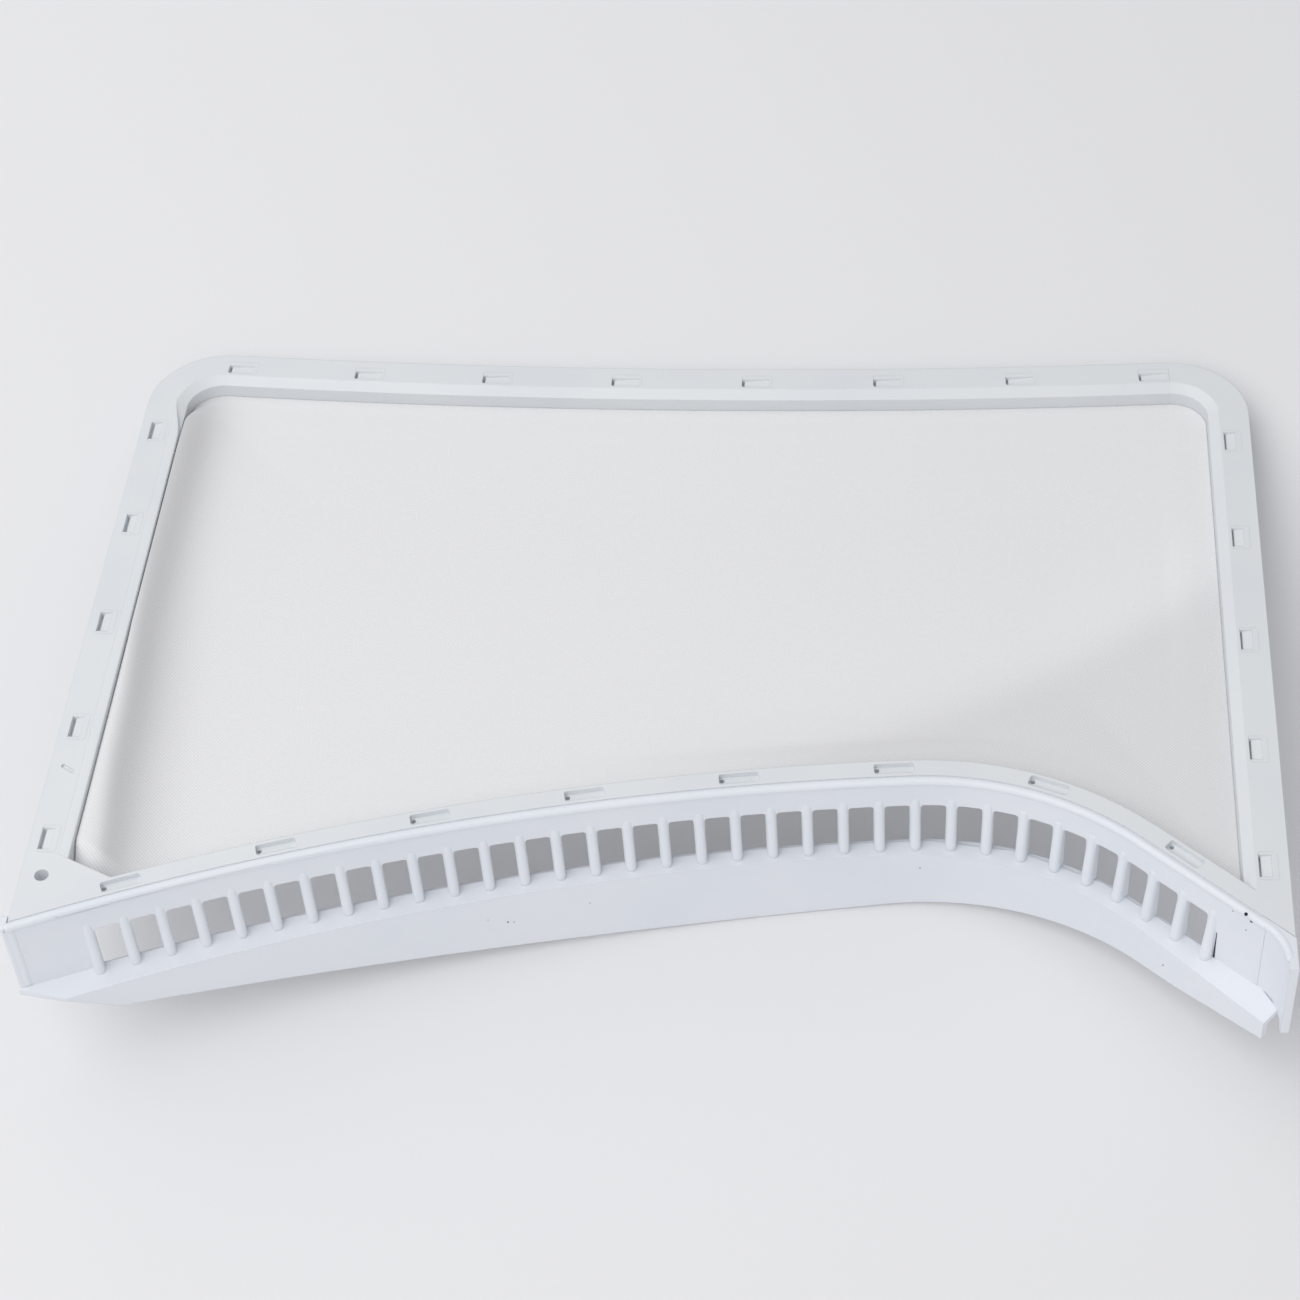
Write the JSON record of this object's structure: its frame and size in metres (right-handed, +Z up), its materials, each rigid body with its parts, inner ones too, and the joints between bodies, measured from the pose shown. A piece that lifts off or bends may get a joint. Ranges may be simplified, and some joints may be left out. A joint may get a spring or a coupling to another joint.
{
  "type": "tumble dryer lint filter",
  "caption": "Flat dryer lint filter: a rounded frame holds a fine mesh screen, and a curved grille handle with slots and ribs closes its near edge.",
  "frame": {"origin": "on the table, under the middle of the filter's box as it rests on its far rail and on the lowest stretch of the handle's band", "axes": "+X along the width of the filter, toward the end where the handle bends forward; +Y away from the handle toward the far rail; +Z up from the table"},
  "size_m": [0.4226, 0.2846, 0.0778],
  "materials": {
    "frame_plastic": "satin white moulded plastic",
    "handle_plastic": "satin cool white moulded plastic",
    "screen_mesh": "fine off-white nylon mesh, matt"
  },
  "bodies": {
    "root": {"mesh_frame": "frame_plastic", "grille_handle": "handle_plastic", "mesh_screen": "screen_mesh"}
  },
  "joints": []
}
